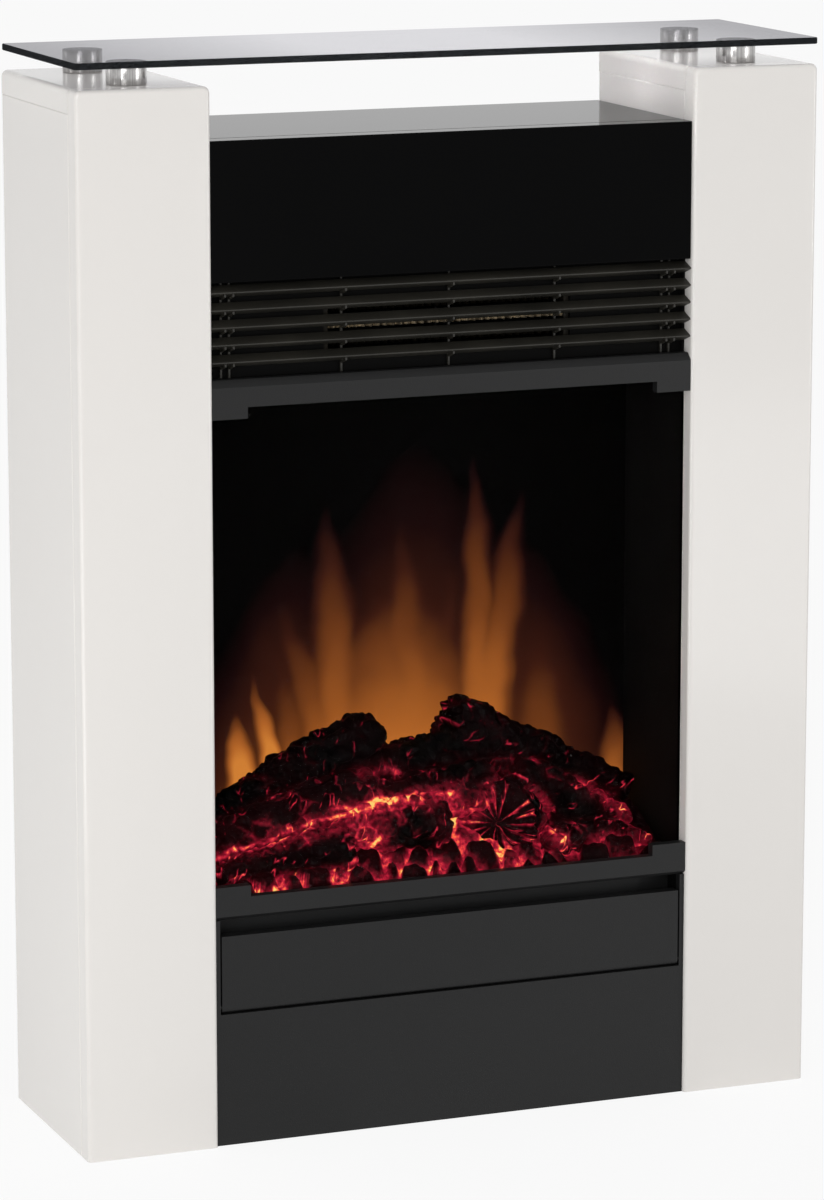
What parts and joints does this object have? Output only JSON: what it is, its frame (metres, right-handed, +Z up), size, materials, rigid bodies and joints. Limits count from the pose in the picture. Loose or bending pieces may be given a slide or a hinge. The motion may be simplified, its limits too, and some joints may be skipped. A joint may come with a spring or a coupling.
{
  "type": "electric fireplace",
  "caption": "Free-standing electric fireplace: white lacquered columns, glass shelf on steel spacers, black hood, louvred fan heater, glowing log window and a drop-down control flap.",
  "frame": {"origin": "on the floor, under the middle of the glass shelf", "axes": "+Z up, the window faces -Y, +X to the right seen from the front"},
  "size_m": [0.595, 0.18, 0.826],
  "materials": {
    "white_lacquer": "high-gloss lacquered fibreboard",
    "backing_board": "bare hardboard",
    "spacer_steel": "turned and brushed",
    "shelf_glass": "toughened, pale smoke tint",
    "black_lacquer": "high-gloss lacquered fibreboard",
    "black_satin_metal": "satin powder coat",
    "black_sheet": "matt black sheet",
    "galvanised_sheet": "galvanised sheet",
    "window_glass": "clear toughened",
    "diffuser": "smoked diffusing acrylic",
    "mirror_foil": "bright foil",
    "mica": "mica board",
    "heating_alloy": "crimped resistance ribbon",
    "rotor_metal": "pressed sheet",
    "motor_steel": "plated",
    "black_plastic": "moulded",
    "white_plastic": "moulded",
    "control_sheet": "satin powder coat",
    "screw_steel": "zinc plated",
    "circuit_board": "solder-masked board with lamps",
    "ember_resin": "translucent painted moulding",
    "log_resin": "painted cast resin"
  },
  "bodies": {
    "cabinet": {"left_front_board": "white_lacquer", "left_outer_side": "white_lacquer", "left_inner_side": "white_lacquer", "left_cap": "white_lacquer", "right_front_board": "white_lacquer", "right_outer_side": "white_lacquer", "right_inner_side": "white_lacquer", "right_cap": "white_lacquer", "left_back_board": "backing_board", "right_back_board": "backing_board", "left_front_spacer": "spacer_steel", "left_back_spacer": "spacer_steel", "right_front_spacer": "spacer_steel", "right_back_spacer": "spacer_steel", "glass_shelf": "shelf_glass", "hood_front": "black_lacquer", "hood_top": "black_lacquer", "louvre_blades": "black_satin_metal", "upper_trim": "black_satin_metal", "lower_trim": "black_satin_metal", "base_panel": "black_satin_metal", "grille_ribs": "black_sheet", "outlet_panel": "black_sheet", "chassis_left": "black_sheet", "chassis_right": "black_sheet", "firebox_floor": "black_sheet", "firebox_ceiling": "black_sheet", "rear_panel": "galvanised_sheet", "blower_casing": "galvanised_sheet", "front_glass": "window_glass", "flame_screen": "diffuser", "flame_mask": "mirror_foil", "heater_frame": "mica", "heating_ribbons": "heating_alloy", "blower_motor": "motor_steel", "spindle_motor": "motor_steel", "switch_bodies": "black_plastic", "thermostat": "black_plastic", "cable_gland": "black_plastic", "thermal_cutout": "black_plastic", "spindle_bearing": "white_plastic", "control_panel": "control_sheet", "assembly_screws": "screw_steel", "ember_light_board": "circuit_board", "flame_light_board": "circuit_board", "ember_bed": "ember_resin", "cut_log": "log_resin", "centre_log": "log_resin", "front_log": "log_resin", "left_log": "log_resin", "right_log": "log_resin", "rear_log": "log_resin"},
    "control_flap": {"control_flap": "black_satin_metal", "flap_pins": "screw_steel"},
    "flame_rocker": {"flame_rocker": "black_plastic"},
    "low_heat_rocker": {"low_heat_rocker": "black_plastic"},
    "high_heat_rocker": {"high_heat_rocker": "black_plastic"},
    "thermostat_knob": {"thermostat_knob": "black_plastic"},
    "flame_spindle": {"flame_spindle": "mirror_foil"},
    "blower_rotor": {"blower_rotor": "rotor_metal"}
  },
  "joints": [
    {"name": "flap_hinge", "type": "hinge", "parent": "cabinet", "child": "control_flap", "pos_m": [0, -0.0825, 0.1078], "axis": [1, 0, 0], "range_deg": [0, 90]},
    {"name": "high_heat_rocker_tilt", "type": "hinge", "parent": "cabinet", "child": "high_heat_rocker", "pos_m": [0.1, -0.058, 0.1399], "axis": [-1, 0, 0], "range_deg": [0, 16]},
    {"name": "low_heat_rocker_tilt", "type": "hinge", "parent": "cabinet", "child": "low_heat_rocker", "pos_m": [0.07, -0.058, 0.1399], "axis": [-1, 0, 0], "range_deg": [0, 16]},
    {"name": "flame_rocker_tilt", "type": "hinge", "parent": "cabinet", "child": "flame_rocker", "pos_m": [0.04, -0.058, 0.1399], "axis": [-1, 0, 0], "range_deg": [0, 16]},
    {"name": "thermostat_turn", "type": "hinge", "parent": "cabinet", "child": "thermostat_knob", "pos_m": [0.15, -0.06, 0.1399], "axis": [0, 1, 0], "range_deg": [0, 270]},
    {"name": "spindle_spin", "type": "hinge", "parent": "cabinet", "child": "flame_spindle", "pos_m": [0, 0.06015, 0.2188], "axis": [1, 0, 0], "continuous": true},
    {"name": "blower_spin", "type": "hinge", "parent": "cabinet", "child": "blower_rotor", "pos_m": [0, -0.0285, 0.621], "axis": [1, 0, 0], "continuous": true}
  ]
}
